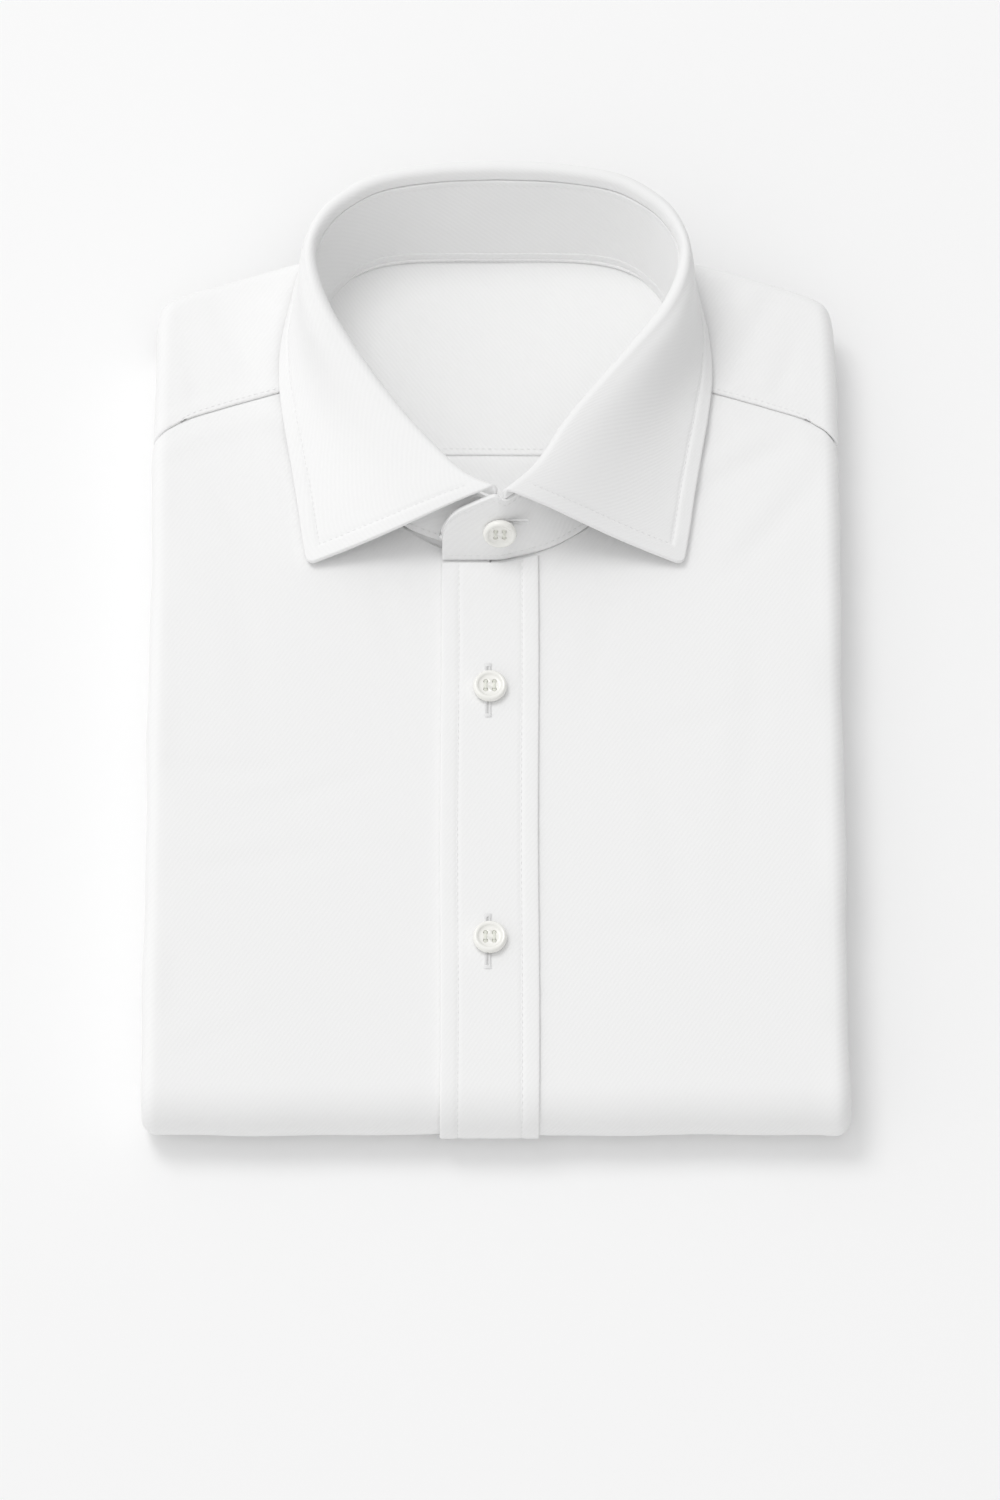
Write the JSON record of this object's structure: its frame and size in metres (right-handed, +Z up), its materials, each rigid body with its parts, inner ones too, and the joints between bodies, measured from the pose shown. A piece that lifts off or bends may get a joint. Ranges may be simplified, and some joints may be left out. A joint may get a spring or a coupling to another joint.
{
  "type": "folded dress shirt",
  "caption": "Dress shirt, buttoned and folded flat with its front up, its turned-down collar standing round the open neck.",
  "frame": {"origin": "middle of the bounding box, at the face it rests on", "axes": "+X towards the wearer's left, which is the viewer's right; +Y along the shirt to the collar; +Z up, out of the shirt's front"},
  "size_m": [0.245, 0.3626, 0.0627],
  "materials": {
    "front_cloth": "matte",
    "yoke_cloth": "matte",
    "collar_cloth": "matte",
    "hidden_cloth": "matte",
    "button_gloss": "gloss"
  },
  "bodies": {
    "root": {"front_left": "front_cloth", "front_right": "front_cloth", "placket": "front_cloth", "yoke": "yoke_cloth", "yoke_inner": "yoke_cloth", "back": "yoke_cloth", "folded_layers": "hidden_cloth", "collar_stand": "collar_cloth", "collar_leaf": "collar_cloth", "button_collar": "button_gloss", "button_1": "button_gloss", "button_2": "button_gloss"}
  },
  "joints": []
}
